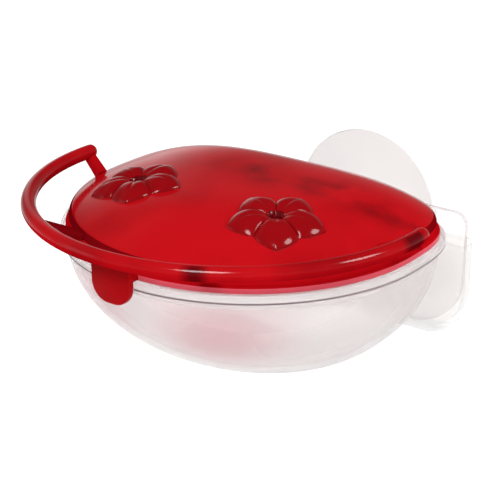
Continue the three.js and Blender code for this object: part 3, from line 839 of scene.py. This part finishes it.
def stage():
    """A pale floor under a soft studio: white backdrop all round, dim overhead where gloss mirrors it."""
    world = bpy.data.worlds.new("soft_studio")
    bpy.context.scene.world = world
    world.use_nodes = True
    tree = world.node_tree
    ray = add_node(tree, "ShaderNodeLightPath", {}).outputs
    direction = add_node(tree, "ShaderNodeTexCoord", {}).outputs["Generated"]
    axes = add_node(tree, "ShaderNodeSeparateXYZ", {"Vector": direction}).outputs
    low = add_node(tree, "ShaderNodeMapRange", {"Value": axes["Z"], "From Min": 0.05, "From Max": 0.5,
                                                "To Min": 1, "To Max": 0.1})
    aside = add_node(tree, "ShaderNodeMath", {0: axes["X"], 1: WINDOW_X}, operation="SUBTRACT")
    away = add_node(tree, "ShaderNodeMath", {0: aside.outputs[0]}, operation="ABSOLUTE")
    window = add_node(tree, "ShaderNodeMapRange",
                      {"Value": away.outputs[0], "From Min": 0.05, "From Max": 0.17,
                       "To Min": 1, "To Max": 0.2},
                      interpolation_type="SMOOTHSTEP")
    mirrored = add_node(tree, "ShaderNodeMath", {0: low.outputs["Result"], 1: window.outputs["Result"]},
                        operation="MULTIPLY")
    lit = add_node(tree, "ShaderNodeMapRange", {"Value": ray["Is Glossy Ray"], "To Min": BACKDROP,
                                                "To Max": mirrored.outputs[0]})
    seen = add_node(tree, "ShaderNodeMath", {0: ray["Is Camera Ray"], 1: ray["Is Transmission Ray"]},
                    operation="MAXIMUM")
    strength = add_node(tree, "ShaderNodeMath", {0: seen.outputs[0], 1: lit.outputs["Result"]},
                        operation="MAXIMUM")
    background = tree.nodes["Background"].inputs
    background["Color"].default_value = (1, 1, 1, 1)
    tree.links.new(strength.outputs[0], background["Strength"])

    pale = bpy.data.materials.new("pale_floor")
    pale.use_nodes = True
    tree = pale.node_tree
    shader = tree.nodes["Principled BSDF"].inputs
    shader["Base Color"].default_value = linear("#f4f4f4")
    shader["Roughness"].default_value = 0.9
    ray = add_node(tree, "ShaderNodeLightPath", {}).outputs
    seen = add_node(tree, "ShaderNodeMath", {0: ray["Is Camera Ray"], 1: ray["Is Transmission Ray"]},
                    operation="MAXIMUM")
    lift = add_node(tree, "ShaderNodeMath", {0: seen.outputs[0], 1: FLOOR_LIFT}, operation="MULTIPLY")
    shader["Emission Color"].default_value = (1, 1, 1, 1)
    tree.links.new(lift.outputs[0], shader["Emission Strength"])
    bm = bmesh.new()
    bmesh.ops.create_grid(bm, x_segments=1, y_segments=1, size=FLOOR_SIZE)
    bmesh.ops.translate(bm, vec=(0, 0, FLOOR_HEIGHT), verts=bm.verts)
    new_piece("floor", bm, pale)


def lamp(name, place, size, watts):
    data = bpy.data.lights.new(name, "AREA")
    data.shape = "DISK"
    data.size = size
    data.energy = watts
    made = bpy.data.objects.new(name, data)
    made.location = place
    made.rotation_euler = (Vector(LAMP_AIM) - Vector(place)).to_track_quat("-Z", "Y").to_euler()
    bpy.context.scene.collection.objects.link(made)


def camera():
    data = bpy.data.cameras.new("photograph")
    data.sensor_width = 36
    data.lens = LENS_PIXELS / FRAME_PIXELS * data.sensor_width
    made = bpy.data.objects.new("photograph", data)
    away = Vector((cos(VIEW_RISE) * sin(VIEW_TURN), -cos(VIEW_RISE) * cos(VIEW_TURN), sin(VIEW_RISE)))
    made.location = VIEW_AIM + away * VIEW_DISTANCE
    made.rotation_euler = (VIEW_MIDDLE - made.location).to_track_quat("-Z", "Y").to_euler()
    bpy.context.scene.collection.objects.link(made)
    bpy.context.scene.camera = made


camera()
stage()
lamp("key", (0.3, -1.1, 1.1), 0.6, 11)
lamp("fill", (1.1, 0.3, 0.9), 0.5, 6)

red = mottled_polycarbonate("moulded_red_polycarbonate", "#9e060e", "#bc0d16", "#700a0f", 0.15, 0.03)
rod_red = perch_polycarbonate("solid_red_polycarbonate", "#92060d", "#b40b14", "#62040a", 0.3)
side_red = red_polycarbonate("layered_red_polycarbonate", "#9c060e", "#c00b16", 0, 0)
# A darker red than the cover, for the lift tab
deep_red = red_polycarbonate("darker_red_polycarbonate", "#7c040a", "#a2060d", 0.02, 0)
petal_red = red_polycarbonate("ribbed_red_polycarbonate", "#78040a", "#90070e", 0.25, 0)
# A near black red: painted shade in each flower's throat
throat_red = red_polycarbonate("throat_shade_red_polycarbonate", "#520307", "#6a040a", 0.3, 0)
# A darker, matt red: painted shade for the cover's shoulder band and for the arms under the rod
shade_red = red_polycarbonate("shaded_red_polycarbonate", "#64030a", "#7a060d", 0, 0)
# Pale pink for the flange's edge: paler for being thin, and brighter with painted light shining through it
# from the bowl
pink = red_polycarbonate("thin_backlit_red_polycarbonate", "#d84a58", "#e45a68", 0.02, 0)
clear = clear_polycarbonate("moulded_clear_polycarbonate", 0.5, 0.65, "#fdfbfa", 0.06, 0.14)
# Grey pink: painted shade for the clear hanger's edges
edge_shade = clear_polycarbonate("edge_shade_clear_polycarbonate", 0.7, 0.4, "#d9cdcf", 0.1, 0.2)
# Hazy clear with a painted pink glow of the red cover under each port
hazy = red_glow_polycarbonate("hazy_clear_polycarbonate", 0.57, 0.6, "#fdfaf9", "#ebb7be", 0.1, 0.2)
# Rougher and whiter: frosted, with a painted highlight for the bright lip and bead line
rim = clear_polycarbonate("frosted_highlight_clear_polycarbonate", 0.55, 0.5, "#fffdfd", 0.2, 0.3)
# Dark grey: painted shade for the line under the bowl's lip
edge = clear_polycarbonate("lip_shade_clear_polycarbonate", 0.95, 0.1, "#86787c", 0.3, 0.4)
soft = soft_clear_pvc()

lid = red_cover(red, side_red, pink, shade_red)
cut_away(lid, [round_bar(BORE_RADIUS, (s * PORT_SIDE, PORT_Y, BORE_BOTTOM), (s * PORT_SIDE, PORT_Y, BORE_TOP),
                         (0, 0, 1)) for s in (-1, 1)])
smooth(lid.data)
fit(lid, "lid", "cover")
fit(lift_tab(deep_red), "lid", "cover")
fit(perch_ring(rod_red), "lid", "perch_ring")
# The arms take the darker red: painted shade, as they hang in the shadow under the rod
for arm, angle in (("perch_arm_left", LEFT_ARM), ("perch_arm_right", RIGHT_ARM)):
    fit(perch_arm(arm, angle, shade_red), "lid", "perch_ring")
for port, s, spin in (("left", -1, LEFT_FLOWER_TURN), ("right", 1, 0)):
    fit(flower_port("flower_" + port, s, spin, petal_red, throat_red), "lid", "flower_port_" + port)
fit(nectar_bowl(hazy, rim, edge), "feeder", "nectar_bowl")
fit(bowl_hanger(clear, edge_shade), "feeder", "bowl_hanger")
fit(window_bracket(clear), "bracket", "window_bracket")
fit(suction_cup(soft), "cup", "suction_cup")

bpy.context.scene.view_settings.view_transform = "Standard"
